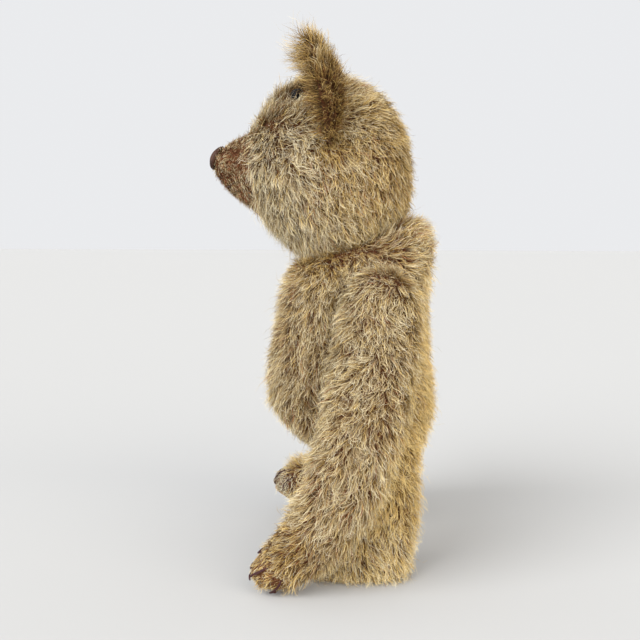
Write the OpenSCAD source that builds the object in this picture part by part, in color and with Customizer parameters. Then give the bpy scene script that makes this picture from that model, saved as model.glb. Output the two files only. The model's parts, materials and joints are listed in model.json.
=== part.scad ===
// Jointed mohair teddy bear, standing on its soles with its arms swung forward.
// Frame: +Z up, it faces -Y, its left side is +X. The origin is on the floor, under the middle of its box.
// Each soft part is a sewn skin over firm stuffing. Head and limbs turn on disc joints with split pins.

/* [Cloth] */
// thickness of the mohair cloth
skin = 1; // [0.6:0.1:1.6]
// thickness of the felt soles
felt = 2; // [1:0.1:3]
// thickness of the card in each sole
card = 1.5; // [0.8:0.1:2]

/* [Head] */
// half the width of the head
head_w = 46; // [40:1:50]
// radius of a boot-button eye
eye_r = 4.8; // [3:0.1:6.5]
// how far the ears' cups bulge back
ear_cup = 7; // [2:0.5:10]
// thickness of one ear panel
ear_skin = 0.9; // [0.6:0.1:1.2]

/* [Torso] */
// half the width of the belly
belly_w = 45.5; // [40:0.5:46]

/* [Limbs] */
// outermost reach of the arms from the middle
arm_out = 97; // [94:0.5:102]
// outermost reach of the legs from the middle
leg_out = 66; // [60:0.5:67]
// radius of a claw's thread bundle
claw_r = 0.8; // [0.4:0.1:1]

/* [Joints] */
// radius of the shoulder and hip discs
disc_r = 15.5; // [14:0.5:16]
// radius of the neck discs
neck_disc_r = 17; // [14:0.5:18]
// thickness of a joint disc
disc_t = 2; // [1.5:0.1:2.5]
// radius of a washer
washer_r = 8; // [6:0.5:9]
// thickness of a washer
washer_t = 0.8; // [0.5:0.1:1]
// radius of a split pin's shank
pin_r = 1.2; // [0.9:0.1:1.5]
// gap between the two skins at a joint
joint_gap = 0.4; // [0.2:0.1:0.8]
// forward tilt of the neck's axis
neck_tilt = 16; // [0:1:20]

/* [Hidden] */

$fn = 48;
fit = 0.05;                      // running clearance round a pin
pad = 0.05;                      // gap between a skin and its stuffing
slip = 0.1;                      // gap between stacked joint pieces
hair = 0.02;                     // keeps two cut faces from lying in one plane
y_shift = 1.45;                  // brings the middle of the box over the origin
neck = [0, 20, 207];             // joint centres, left side for the limbs
shoulder = [38, 42, 172];
hip = [33.3, 38, 86];
neck_axis = [0, -sin(neck_tilt), cos(neck_tilt)];
seat_r = 22;                     // every joint's flat seat reaches this far
seat_rise = 0.8;                 // slope of a seat's rim beyond that
clear = 1.2;                     // extra room between the rims of two seats
cup_deep = 4.5;                  // how far the cloth turns in round a disc
torso_flat = 0.75;               // under 1, the torso's sides are flatter than an oval's
arm_in = 69;                     // inner face of the arms, past the shoulder
stuff = skin + pad;
eye_a = 36;                      // where the eyes sit on the head's surface
eye_v = 7.7;

// Every soft form is a stack of oval rings. A row holds the two ends of an oval in the
// side view, then its lowest and highest x: [y0, z0, y1, z1, x0, x1]. The first and last are points.
torso_rows = [
    [35, 62.5, 35, 62.5, 0, 0], [16, 66.5, 53, 64, -22, 22], [1, 74.5, 62, 69, -32, 32],
    [-14, 82.5, 68, 80, -36.5, 36.5], [-26, 94, 72, 95, -38.5, 38.5], [-31.5, 106, 73.5, 108, -40.5, 40.5],
    [-32.5, 120, 72.5, 122, -43.5, 43.5], [-31, 138, 70, 139, -belly_w, belly_w],
    [-27.5, 157, 68.5, 157, -45, 45], [-24.5, 174, 68.5, 176, -43.5, 43.5],
    [-20.5, 189, 70.5, 197, -42, 42], [-15.5, 198.5, 72.5, 213, -39, 39],
    [-9, 201.5, 69, 225, -34, 34], [-3, 201, 59, 228, -28, 28],
    [4, 202.4, 40, 212.7, -17, 17], [20, 207, 20, 207, 0, 0]];

head_rows = [
    [-74.5, 268.5, -74.5, 268.5, 0, 0], [-73.5, 273.2, -72.7, 263.2, -7, 7],
    [-69, 277.5, -69, 256.5, -12.5, 12.5], [-58, 283.5, -61, 247.5, -17.5, 17.5],
    [-47, 288, -52, 241, -22, 22], [-39.5, 295, -43, 236, -28, 28], [-33.5, 305.5, -34, 228.5, -35, 35],
    [-24, 316, -23, 217, 4 - head_w, head_w - 4], [-8, 322, -9, 206, -head_w, head_w],
    [10, 322.5, 10, 197, -head_w, head_w], [27, 317, 27, 201, 1.5 - head_w, head_w - 1.5],
    [41, 307, 41, 213, 6 - head_w, head_w - 6], [50.5, 293, 50.5, 226, 13 - head_w, head_w - 13],
    [55.5, 278, 55.5, 240, -21, 21], [57.5, 259, 57.5, 259, 0, 0]];

arm_rows = [
    [-29.5, 5, -29.5, 5, 85, 85], [-35.5, 12, -20, 3.2, 77.5, arm_out - 4],
    [-33.5, 20, -5.5, 7, 73.5, arm_out - 1.5],
    [-24, 33, 11.5, 18.5, 71, arm_out], [-11.5, 48.5, 28, 37, 69, arm_out + 0.5],
    [-1, 67, 42, 59, 68, arm_out + 0.5], [6, 91, 52, 87, 67, arm_out],
    [11, 114, 58.5, 111, 61, arm_out - 3.5], [14, 135, 62.5, 132, 49, arm_out - 12],
    [17, 156, 65, 154, 36, arm_out - 21.5], [20, 174, 64.5, 174, 32, arm_out - 27.5],
    [25, 187.5, 59.5, 189.5, 33, arm_out - 29], [33, 196, 51, 196.5, 41, arm_out - 34],
    [42, 198.5, 42, 198.5, 53, 53]];

leg_rows = [
    [22, 2.2, 22, 2.2, 49.5, 49.5], [-11.5, 2.2, 55.5, 2.2, 35, leg_out - 1],
    [-14.5, 6.5, 59.5, 5.5, 32, leg_out + 0.5], [-14.5, 13, 62, 11.5, 31, leg_out + 0.5],
    [-7, 22, 63.5, 19.5, 30.5, leg_out], [6, 31, 64.5, 31, 30.5, leg_out - 0.5],
    [15, 44, 65, 45, 30.5, leg_out - 1], [14, 58, 65.5, 60, 30, leg_out - 0.5],
    [11.5, 74, 65.5, 75, 29.5, leg_out], [12, 90, 64, 91, 30, leg_out],
    [17, 101.5, 59, 102, 32, leg_out - 1.5], [26.5, 108, 50, 108.2, 39, leg_out - 6],
    [38, 109.6, 38, 109.6, 50, 50]];

// The right leg stands one stride forward, on the back edge of its sole.
stride = 2 * atan((leg_rows[1][2] - hip.y) / hip.z);

torso_as = [for (i = [0:19]) i * 18];
head_as = torso_as;
limb_as = [for (i = [0:15]) i * 22.5];
torso_vs = [0, 0.6, 1, 2, 3, 4, 5, 6, 7, 8, 9, 10, 11, 11.6, 12.3, 13, 13.5, 14, 15];
head_vs = [0, 0.5, 1, 1.5, 2, 3, 4, 5, 6, 7, 8, 8.7, 9.4, 10, 10.7, 11.4, 12, 12.6, 13, 13.5, 14];
arm_vs = [0, 0.5, 1, 1.5, 2, 3, 4, 5, 6, 6.7, 7.4, 8, 8.7, 9.4, 10, 10.6, 11.2, 12, 12.5, 13];
leg_vs = [0, 1, 1.5, 2, 3, 4, 5, 6, 7, 8, 8.6, 9.2, 9.8, 10.4, 11, 11.5, 12];

function unit(v) = v / max(norm(v), 1e-9);
function weave(p, q, r, s, t) =
    0.5 * (2 * q + (r - p) * t + (2 * p - 5 * q + 4 * r - s) * t * t + (3 * q - p - 3 * r + s) * t * t * t);
function row(rows, v) = let (n = len(rows) - 1, i = max(min(floor(v), n - 1), 0))
    weave(rows[max(i - 1, 0)], rows[i], rows[i + 1], rows[min(i + 2, n)], v - i);
function middle(r) = [(r[4] + r[5]) / 2, (r[0] + r[2]) / 2, (r[1] + r[3]) / 2];
function bent(x, e) = sign(x) * pow(abs(x), e);
function oval(r, a, e) = let (c = bent(cos(a), e))
    middle(r) + [(r[5] - r[4]) / 2 * bent(sin(a), e), (r[0] - r[2]) / 2 * c, (r[1] - r[3]) / 2 * c];

// Outward direction of a stack of rings: across the surface, or along the stack at its two ends.
function outward(rows, a, v, e, f) = let (n = len(rows) - 1)
    v <= 0 ? unit(middle(rows[0]) - middle(row(rows, 0.3))) :
    v >= n ? unit(middle(rows[n]) - middle(row(rows, n - 0.3))) :
    unit(cross(f(oval(row(rows, v), a + 3, e)) - f(oval(row(rows, v), a - 3, e)),
        f(oval(row(rows, min(v + 0.06, n)), a, e)) - f(oval(row(rows, max(v - 0.06, 0)), a, e))));
function sunk(rows, a, v, d, e = 1, f = function (p) p) =
    f(oval(row(rows, v), a, e)) - d * outward(rows, a, v, e, f);

// Room left by the joints. reach() is how far a point may come towards a seat at distance r from its axis.
function rim(r) = max(r - seat_r, 0) * seat_rise;
function seat(p, c, axis, side, d) = let (
        up = (p - c) * axis, r = norm(p - c - up * axis),
        edge = side < 0 ? -joint_gap / 2 + rim(r) - d : joint_gap / 2 + rim(r) + sign(rim(r)) * clear + d)
    side < 0 ? p - max(up - edge, 0) * axis : p + max(edge - up, 0) * axis;
// The torso's sides come out to the shoulder and hip seats where they are too narrow, in to them elsewhere.
function boss(c, p) =
    c.x - joint_gap / 2 - 0.25 * pow(max(norm([p.y - c.y, p.z - c.z]) - cup_r(disc_r) - 1, 0), 2);
widen = function (p) let (x = abs(p.x))
    [x < 12 ? p.x : sign(p.x) * max(x, min(max(boss(shoulder, p), boss(hip, p)), x + 6)), p.y, p.z];
function narrow(p, d) = let (r = norm([p.y - shoulder.y, p.z - shoulder.z]))
    [sign(p.x) * min(abs(p.x), shoulder.x - joint_gap / 2 + rim(r) - d,
        hip.x - joint_gap / 2 + max(p.z - 114, 0) * 1.1 - d), p.y, p.z];
torso_fit = function (p, d) seat(narrow(p, d), neck, neck_axis, -1, d);
head_fit = function (p, d) seat(p, neck, neck_axis, 1, d);
arm_fit = function (p, d) let (r = norm([p.y - shoulder.y, p.z - shoulder.z]))
    [max(p.x, min(shoulder.x + joint_gap / 2 + rim(r) + sign(rim(r)) * clear, arm_in) + d), p.y, p.z];
leg_fit = function (p, d)
    [max(p.x, hip.x + joint_gap / 2 + d), p.y, max(p.z, d > skin ? felt + card + 0.2 : p.z)];

torso_form = function (a, v, d) torso_fit(sunk(torso_rows, a, v, d, torso_flat, widen), d);
head_form = function (a, v, d) head_fit(sunk(head_rows, a, v, d), d);
arm_form = function (a, v, d) arm_fit(sunk(arm_rows, a, v, d), d);
leg_form = function (a, v, d) leg_fit(sunk(leg_rows, a, v, d), d);

// Each disc presses a flat cup into the cloth.
function cup_r(r) = r + 2;

function whole(tris) = [for (t = tris) if (t[0] != t[1] && t[1] != t[2] && t[0] != t[2]) t];

// A closed body: one point at each end of vs, and a ring of as at every row between.
module solid(form, as, vs, d) {
    n = len(as);
    m = len(vs);
    points = [form(0, vs[0], d), for (j = [1:m - 2]) for (a = as) form(a, vs[j], d), form(0, vs[m - 1], d)];
    faces = [
        for (i = [0:n - 1]) let (k = (i + 1) % n) each [
            [0, 1 + i, 1 + k],
            [1 + (m - 3) * n + i, 1 + (m - 2) * n, 1 + (m - 3) * n + k],
            for (j = [0:m - 4]) let (p = 1 + j * n) each [
                [p + i, p + n + k, p + k], [p + i, p + n + i, p + n + k]]]];
    polyhedron(points, faces);
}

// A sewn panel: columns cols and rows of the same grid, between depths d[0] and d[1].
// A panel that wraps closes on itself round the form. ends are the rows that are a single point.
module panel(form, as, vs, d, ends = [], wrap = false) {
    n = len(as);
    m = len(vs);
    points = [for (e = d) for (v = vs) for (a = as) form(a, v, e)];
    id = function (l, i, j) (l * m + j) * n + (len(search(j, ends)) > 0 ? 0 : i % n);
    cols = wrap ? n - 1 : n - 2;
    faces = whole([
        for (i = [0:cols]) for (j = [0:m - 2]) each [
            [id(0, i, j), id(0, i + 1, j + 1), id(0, i + 1, j)],
            [id(0, i, j), id(0, i, j + 1), id(0, i + 1, j + 1)],
            [id(1, i, j), id(1, i + 1, j), id(1, i + 1, j + 1)],
            [id(1, i, j), id(1, i + 1, j + 1), id(1, i, j + 1)]],
        for (i = [0:cols]) each [
            [id(0, i, 0), id(0, i + 1, 0), id(1, i + 1, 0)], [id(0, i, 0), id(1, i + 1, 0), id(1, i, 0)],
            [id(0, i, m - 1), id(1, i + 1, m - 1), id(0, i + 1, m - 1)],
            [id(0, i, m - 1), id(1, i, m - 1), id(1, i + 1, m - 1)]],
        if (!wrap) for (j = [0:m - 2]) each [
            [id(0, 0, j), id(1, 0, j + 1), id(0, 0, j + 1)], [id(0, 0, j), id(1, 0, j), id(1, 0, j + 1)],
            [id(0, n - 1, j), id(0, n - 1, j + 1), id(1, n - 1, j + 1)],
            [id(0, n - 1, j), id(1, n - 1, j + 1), id(1, n - 1, j)]]]);
    polyhedron(points, faces);
}

// A six-sided strand of thread along a path.
module strand(path, r) {
    n = len(path);
    function way(i) = unit(path[min(i + 1, n - 1)] - path[max(i - 1, 0)]);
    function side(i) = unit(cross(way(i), [0.31, 0.52, 0.8]));
    points = [for (i = [0:n - 1]) for (k = [0:5])
        path[i] + r * (i == 0 || i == n - 1 ? 0.6 : 1) *
            (side(i) * cos(60 * k) + cross(way(i), side(i)) * sin(60 * k))];
    polyhedron(points, [
        [for (k = [0:5]) k], [for (k = [0:5]) 6 * n - 1 - k],
        for (i = [0:n - 2]) for (k = [0:5]) let (p = 6 * i, q = (k + 1) % 6) each [
            [p + k, p + 6 + q, p + q], [p + k, p + 6 + k, p + 6 + q]]]);
}

function from_to(list, lo, hi) = [for (x = list) if (x >= lo && x <= hi) x];

// Puts its children at a joint, with +Z along the axis from the torso to the moving part.
module at_joint(c, axis) {
    translate(c) rotate([0, acos(axis.z), atan2(axis.y, axis.x)]) children();
}
module at_neck() { at_joint(neck, neck_axis) children(); }
module at_shoulder() { at_joint(shoulder, [1, 0, 0]) children(); }
module at_hip() { at_joint(hip, [1, 0, 0]) children(); }

// The hollow that a joint's disc, washer and pin take up in the stuffing on its own side.
module hollow(r, depth) {
    translate([0, 0, -3]) cylinder(r = cup_r(r) + 0.1, h = 3 + depth);
}
// At a joint a skin loses what reaches over its seat and into its disc's place, and gains the cup.
module seat_room(d = 0) {
    z = joint_gap / 2 + d - hair;
    rotate_extrude()
        polygon([[0, z], [seat_r, z], [seat_r + 25, z - 25 * seat_rise], [seat_r + 25, -40], [0, -40]]);
}
module hip_room(d = 0) {
    translate([hip.x - joint_gap / 2 - d + hair, -60, 50]) cube([30, 160, 60]);
}
module disc_room(r) {
    translate([0, 0, -1]) cylinder(r = r + 1.3, h = joint_gap / 2 + skin + cup_deep + 1);
}
module cup(r) {
    difference() {
        translate([0, 0, joint_gap / 2 - 3 * hair]) cylinder(r = cup_r(r), h = cup_deep);
        translate([0, 0, joint_gap / 2 + skin]) cylinder(r = r + 0.8, h = cup_deep);
    }
}
module pin_hole() {
    translate([0, 0, -20]) cylinder(r = pin_r + fit, h = 40);
}
module moving_disc(r) {
    translate([0, 0, joint_gap / 2 + skin + slip / 2]) difference() {
        cylinder(r = r, h = disc_t);
        translate([0, 0, -1]) cylinder(r = pin_r + fit, h = disc_t + 2);
    }
}
module fixed_disc(r) { mirror([0, 0, 1]) moving_disc(r); }
module moving_washer() {
    translate([0, 0, joint_gap / 2 + skin + slip / 2 + disc_t]) difference() {
        cylinder(r = washer_r, h = washer_t);
        translate([0, 0, -1]) cylinder(r = pin_r + fit, h = washer_t + 2);
    }
}
module fixed_washer() { mirror([0, 0, 1]) moving_washer(); }
// The split pin: a round shank, an eye in the moving part, and two legs curled back over the torso's washer.
module split_pin() {
    top = joint_gap / 2 + skin + slip / 2 + disc_t + washer_t;
    low = -top - 0.1;
    curl = 2.2;
    translate([0, 0, low - 1]) cylinder(r = pin_r, h = top - low + 1.6);
    translate([0, 0, top + pin_r + 1.4]) rotate([90, 0, 0]) rotate_extrude() translate([2, 0]) circle(r = 0.9);
    for (s = [0, 180]) rotate([0, 0, s])
        translate([curl, 0, low - 1]) rotate([90, 0, 0]) rotate([0, 0, 180]) rotate_extrude(angle = 180)
            translate([curl, 0]) circle(r = 0.8);
}

// ---- torso ----
module joint_holes() {
    at_neck() pin_hole();
    for (s = [0, 1]) mirror([s, 0, 0]) {
        at_shoulder() pin_hole();
        at_hip() pin_hole();
    }
}
module half(s) {
    intersection() {
        children();
        translate([s > 0 ? 0 : -60, -100, 0]) cube([60, 200, 400]);
    }
}
module torso_skin(lo, hi, s) {
    difference() {
        union() {
            difference() {
                panel(torso_form, [for (i = [lo:hi]) i * 18], torso_vs, [0, skin], [0, len(torso_vs) - 1]);
                at_neck() mirror([0, 0, 1]) { seat_room(); disc_room(neck_disc_r); }
                mirror([s > 0 ? 0 : 1, 0, 0]) {
                    at_shoulder() mirror([0, 0, 1]) { seat_room(); disc_room(disc_r); }
                    at_hip() mirror([0, 0, 1]) disc_room(disc_r);
                    hip_room();
                }
            }
            half(s) at_neck() mirror([0, 0, 1]) cup(neck_disc_r);
            mirror([s > 0 ? 0 : 1, 0, 0]) {
                at_shoulder() mirror([0, 0, 1]) cup(disc_r);
                at_hip() mirror([0, 0, 1]) cup(disc_r);
            }
        }
        joint_holes();
    }
}
module torso_skin_left() { color("tan") torso_skin(0, 10, 1); }
module torso_skin_right() { color("tan") torso_skin(10, 20, -1); }
module torso_stuffing() {
    color("khaki") difference() {
        solid(torso_form, torso_as, torso_vs, stuff);
        at_neck() mirror([0, 0, 1]) { seat_room(stuff); hollow(neck_disc_r, 9); }
        for (s = [0, 1]) mirror([s, 0, 0]) {
            at_shoulder() mirror([0, 0, 1]) { seat_room(stuff); hollow(disc_r, 9); }
            at_hip() mirror([0, 0, 1]) hollow(disc_r, 9);
            hip_room(stuff);
        }
    }
}
module torso_neck_disc() { color("peru") at_neck() fixed_disc(neck_disc_r); }
module torso_left_arm_disc() { color("peru") at_shoulder() fixed_disc(disc_r); }
module torso_right_arm_disc() { mirror([1, 0, 0]) torso_left_arm_disc(); }
module torso_left_leg_disc() { color("peru") at_hip() fixed_disc(disc_r); }
module torso_right_leg_disc() { mirror([1, 0, 0]) torso_left_leg_disc(); }
module torso_washers() {
    color("silver") {
        at_neck() fixed_washer();
        for (s = [0, 1]) mirror([s, 0, 0]) {
            at_shoulder() fixed_washer();
            at_hip() fixed_washer();
        }
    }
}

// ---- head ----
module at_eye(s) {
    p = head_form(eye_a, eye_v, -0.15);
    o = outward(head_rows, eye_a, eye_v, 1, function (p) p);
    mirror([s < 0 ? 1 : 0, 0, 0]) at_joint(p, o) children();
}
module head_holes() {
    at_neck() pin_hole();
    for (s = [-1, 1]) at_eye(s) translate([0, 0, -4]) cylinder(r = 1.9, h = 6);
}
module head_panel(lo, hi) {
    panel(head_form, [for (i = [lo:hi]) i * 18], head_vs, [0, skin], [0, len(head_vs) - 1]);
}
module head_side(lo, hi, s) {
    difference() {
        union() {
            difference() {
                head_panel(lo, hi);
                at_neck() disc_room(neck_disc_r);
            }
            half(s) at_neck() cup(neck_disc_r);
        }
        head_holes();
    }
}
module head_side_left() { color("tan") head_side(2, 10, 1); }
module head_side_right() { color("tan") head_side(10, 18, -1); }
module head_gusset() {
    color("tan") difference() {
        head_panel(-2, 2);
        head_holes();
    }
}
module head_stuffing() {
    color("khaki") difference() {
        solid(head_form, head_as, head_vs, stuff);
        at_neck() hollow(neck_disc_r, 10.2);
        for (s = [-1, 1]) at_eye(s) translate([0, 0, -7]) cylinder(r = 2.6, h = 8);
    }
}
module eye(s) {
    color("black") at_eye(s) {
        intersection() {
            translate([0, 0, -1.6]) sphere(r = eye_r + 0.35);
            cylinder(r = eye_r, h = 8);
        }
        translate([0, 0, -2.4]) rotate([90, 0, 0]) rotate_extrude() translate([1.2, 0]) circle(r = 0.4);
        translate([0, 0, -1.6]) cylinder(r = 0.6, h = 2);
    }
}
module eye_left() { eye(1); }
module eye_right() { eye(-1); }
nose_form = function (a, t, d) head_form(a, t * (1.5 + 0.72 * cos(a)), d);
module nose_stitching() {
    color("saddlebrown") panel(nose_form, head_as, [0, 0.15, 0.3, 0.45, 0.6, 0.7, 0.8, 0.9, 1], [-1.9, -0.35], [0], true);
}
module mouth_stitching() {
    color("saddlebrown") {
        strand([for (v = [0.95:0.3:2.15]) head_form(180, v, -0.7)], 0.5);
        for (s = [-1, 1]) strand([for (t = [0:0.2:1]) head_form(180 - s * (12 + 50 * t), 2.2 + 1.2 * t, -0.7)], 0.5);
    }
}

// The left ear: its root runs down the side of the head, and its rim stands out from it.
ear_rim = [[23, -1, 316.5], [25, -6, 331], [34, -6, 341], [47, -3, 343], [58, 0, 332], [62, 4, 313],
    [58, 7, 294], [46.5, 7, 276]];
function ear_root(s) = head_form(27 + 49 * s, 8.55 + 0.35 * s + 0.4 * sin(180 * s), -0.5);
function ear_edge(s) = let (k = s * 7, i = min(floor(k), 6))
    weave(ear_rim[max(i - 1, 0)], ear_rim[i], ear_rim[i + 1], ear_rim[min(i + 2, 7)], k - i);
function ear_mid(s, t) = ear_root(s) * (1 - t) + ear_edge(s) * t + [0, ear_cup * sin(180 * t) * sin(180 * s), 0];
ear_form = function (s, t, d) let (
        n = unit(cross(ear_mid(min(s + 0.02, 1), t + 0.02) - ear_mid(max(s - 0.02, 0), t + 0.02),
            ear_mid(s, t + 0.04) - ear_mid(s, t))))
    ear_mid(s, t) + d * n;
ear_ss = [0.04, 0.16, 0.28, 0.4, 0.52, 0.64, 0.76, 0.88, 0.97];
ear_ts = [0, 0.2, 0.45, 0.7, 0.88, 1];
module ear_front() { color("tan") panel(ear_form, ear_ss, ear_ts, [ear_skin + 0.05, 0.05]); }
module ear_back() { color("tan") panel(ear_form, ear_ss, ear_ts, [-0.05, -ear_skin - 0.05]); }
module ear_left_front() { ear_front(); }
module ear_left_back() { ear_back(); }
module ear_right_front() { mirror([1, 0, 0]) ear_front(); }
module ear_right_back() { mirror([1, 0, 0]) ear_back(); }
module head_disc() { color("peru") at_neck() moving_disc(neck_disc_r); }
module head_washer() { color("silver") at_neck() moving_washer(); }
module head_cotter_pin() { color("silver") at_neck() split_pin(); }

// ---- arms, drawn on the left ----
pad_top = 4;                     // the felt paw pad ends at this row
module arm_panel(lo, hi, v0, v1) {
    vs = from_to(arm_vs, v0, v1);
    panel(arm_form, [for (i = [lo:hi]) i * 22.5], vs, [0, skin],
        [if (v0 == 0) 0, if (v1 == arm_vs[len(arm_vs) - 1]) len(vs) - 1]);
}
module arm_outer() { color("tan") arm_panel(0, 8, 0, 13); }
module arm_inner() {
    color("tan") difference() {
        union() {
            difference() {
                arm_panel(8, 16, pad_top, 13);
                at_shoulder() disc_room(disc_r);
            }
            at_shoulder() cup(disc_r);
        }
        at_shoulder() pin_hole();
    }
}
module paw_pad() { color("wheat") arm_panel(8, 16, 0, pad_top); }
module arm_stuffing() {
    color("khaki") difference() {
        solid(arm_form, limb_as, arm_vs, stuff);
        at_shoulder() hollow(disc_r, 10.2);
    }
}
// Each claw crosses the seam round the paw: [angle, row] at its outer end, on the seam and at its inner end.
claws = [
    [[8, 2.6], [-12, 2.3], [-62, 3.0]], [[14, 1.7], [-8, 1.35], [-58, 2.2]],
    [[64, 2.4], [32, 0.85], [-40, 1.2]], [[106, 2.1], [135, 1.0], [222, 1.3]]];
function claw_path(c, form) = [for (t = [0:0.2:0.8]) each [
    let (p = c[0] * (1 - t) + c[1] * t) form(p[0], p[1], -claw_r - 0.1)], for (t = [0:0.25:1])
    let (p = c[1] * (1 - t) + c[2] * t) form(p[0], p[1], -claw_r - 0.1)];
module paw_claws() {
    color("maroon") for (c = claws) strand(claw_path(c, arm_form), claw_r);
}
module left_arm_outer() { arm_outer(); }
module left_arm_inner() { arm_inner(); }
module left_paw_pad() { paw_pad(); }
module left_arm_stuffing() { arm_stuffing(); }
module left_paw_claws() { paw_claws(); }
module left_arm_disc() { color("peru") at_shoulder() moving_disc(disc_r); }
module left_arm_washer() { color("silver") at_shoulder() moving_washer(); }
module left_arm_cotter_pin() { color("silver") at_shoulder() split_pin(); }
module right_arm_outer() { mirror([1, 0, 0]) arm_outer(); }
module right_arm_inner() { mirror([1, 0, 0]) arm_inner(); }
module right_paw_pad() { mirror([1, 0, 0]) paw_pad(); }
module right_arm_stuffing() { mirror([1, 0, 0]) arm_stuffing(); }
module right_paw_claws() { mirror([1, 0, 0]) paw_claws(); }
module right_arm_disc() { mirror([1, 0, 0]) left_arm_disc(); }
module right_arm_washer() { mirror([1, 0, 0]) left_arm_washer(); }
module right_arm_cotter_pin() { mirror([1, 0, 0]) left_arm_cotter_pin(); }

// ---- legs, drawn on the left, in the standing position ----
module stepped() {
    mirror([1, 0, 0]) translate(hip) rotate([-stride, 0, 0]) translate(-hip) children();
}
module leg_panel(lo, hi) {
    vs = from_to(leg_vs, 1, 12);
    panel(leg_form, [for (i = [lo:hi]) i * 22.5], vs, [0, skin], [len(vs) - 1]);
}
module leg_outer() { color("tan") leg_panel(0, 8); }
module leg_inner() {
    color("tan") difference() {
        union() {
            difference() {
                leg_panel(8, 16);
                at_hip() disc_room(disc_r);
            }
            at_hip() cup(disc_r);
        }
        at_hip() pin_hole();
    }
}
module leg_stuffing() {
    color("khaki") difference() {
        solid(leg_form, limb_as, leg_vs, stuff);
        at_hip() hollow(disc_r, 10.2);
    }
}
module sole_plate(inset, z, t) {
    translate([0, 0, z]) linear_extrude(t)
        polygon([for (a = [0:11.25:359]) let (p = leg_form(a, 1, 0), q = p - middle(leg_rows[0]))
            [p.x, p.y] - unit([q.x, q.y]) * inset]);
}
module foot_sole() { color("wheat") sole_plate(0, 0, felt); }
module foot_insert() { color("peru") sole_plate(2, felt + 0.1, card); }
module foot_claws() {
    color("maroon") for (a = [-42, -15, 12, 39])
        strand([for (v = [1.1:0.5:3.6]) leg_form(a, v, -claw_r - 0.1)], claw_r);
}
module left_leg_outer() { leg_outer(); }
module left_leg_inner() { leg_inner(); }
module left_leg_stuffing() { leg_stuffing(); }
module left_foot_sole() { foot_sole(); }
module left_foot_insert() { foot_insert(); }
module left_foot_claws() { foot_claws(); }
module left_leg_disc() { color("peru") at_hip() moving_disc(disc_r); }
module left_leg_washer() { color("silver") at_hip() moving_washer(); }
module left_leg_cotter_pin() { color("silver") at_hip() split_pin(); }
module right_leg_outer() { stepped() leg_outer(); }
module right_leg_inner() { stepped() leg_inner(); }
module right_leg_stuffing() { stepped() leg_stuffing(); }
module right_foot_sole() { stepped() foot_sole(); }
module right_foot_insert() { stepped() foot_insert(); }
module right_foot_claws() { stepped() foot_claws(); }
module right_leg_disc() { stepped() left_leg_disc(); }
module right_leg_washer() { stepped() left_leg_washer(); }
module right_leg_cotter_pin() { stepped() left_leg_cotter_pin(); }

translate([0, y_shift, 0]) {
    torso_skin_left();
    torso_skin_right();
    torso_stuffing();
    torso_neck_disc();
    torso_left_arm_disc();
    torso_right_arm_disc();
    torso_left_leg_disc();
    torso_right_leg_disc();
    torso_washers();
    head_side_left();
    head_side_right();
    head_gusset();
    head_stuffing();
    eye_left();
    eye_right();
    nose_stitching();
    mouth_stitching();
    ear_left_front();
    ear_left_back();
    ear_right_front();
    ear_right_back();
    head_disc();
    head_washer();
    head_cotter_pin();
    left_arm_outer();
    left_arm_inner();
    left_paw_pad();
    left_arm_stuffing();
    left_paw_claws();
    left_arm_disc();
    left_arm_washer();
    left_arm_cotter_pin();
    right_arm_outer();
    right_arm_inner();
    right_paw_pad();
    right_arm_stuffing();
    right_paw_claws();
    right_arm_disc();
    right_arm_washer();
    right_arm_cotter_pin();
    left_leg_outer();
    left_leg_inner();
    left_leg_stuffing();
    left_foot_sole();
    left_foot_insert();
    left_foot_claws();
    left_leg_disc();
    left_leg_washer();
    left_leg_cotter_pin();
    right_leg_outer();
    right_leg_inner();
    right_leg_stuffing();
    right_foot_sole();
    right_foot_insert();
    right_foot_claws();
    right_leg_disc();
    right_leg_washer();
    right_leg_cotter_pin();
}
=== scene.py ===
"""Looks of a jointed mohair teddy bear: stuffed skins, pile, felt, thread, floor, light and camera."""

import heapq
import json
import math

import bmesh
import bpy
import numpy as np
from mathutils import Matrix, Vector
from mathutils.bvhtree import BVHTree
from mathutils.kdtree import KDTree

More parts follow.
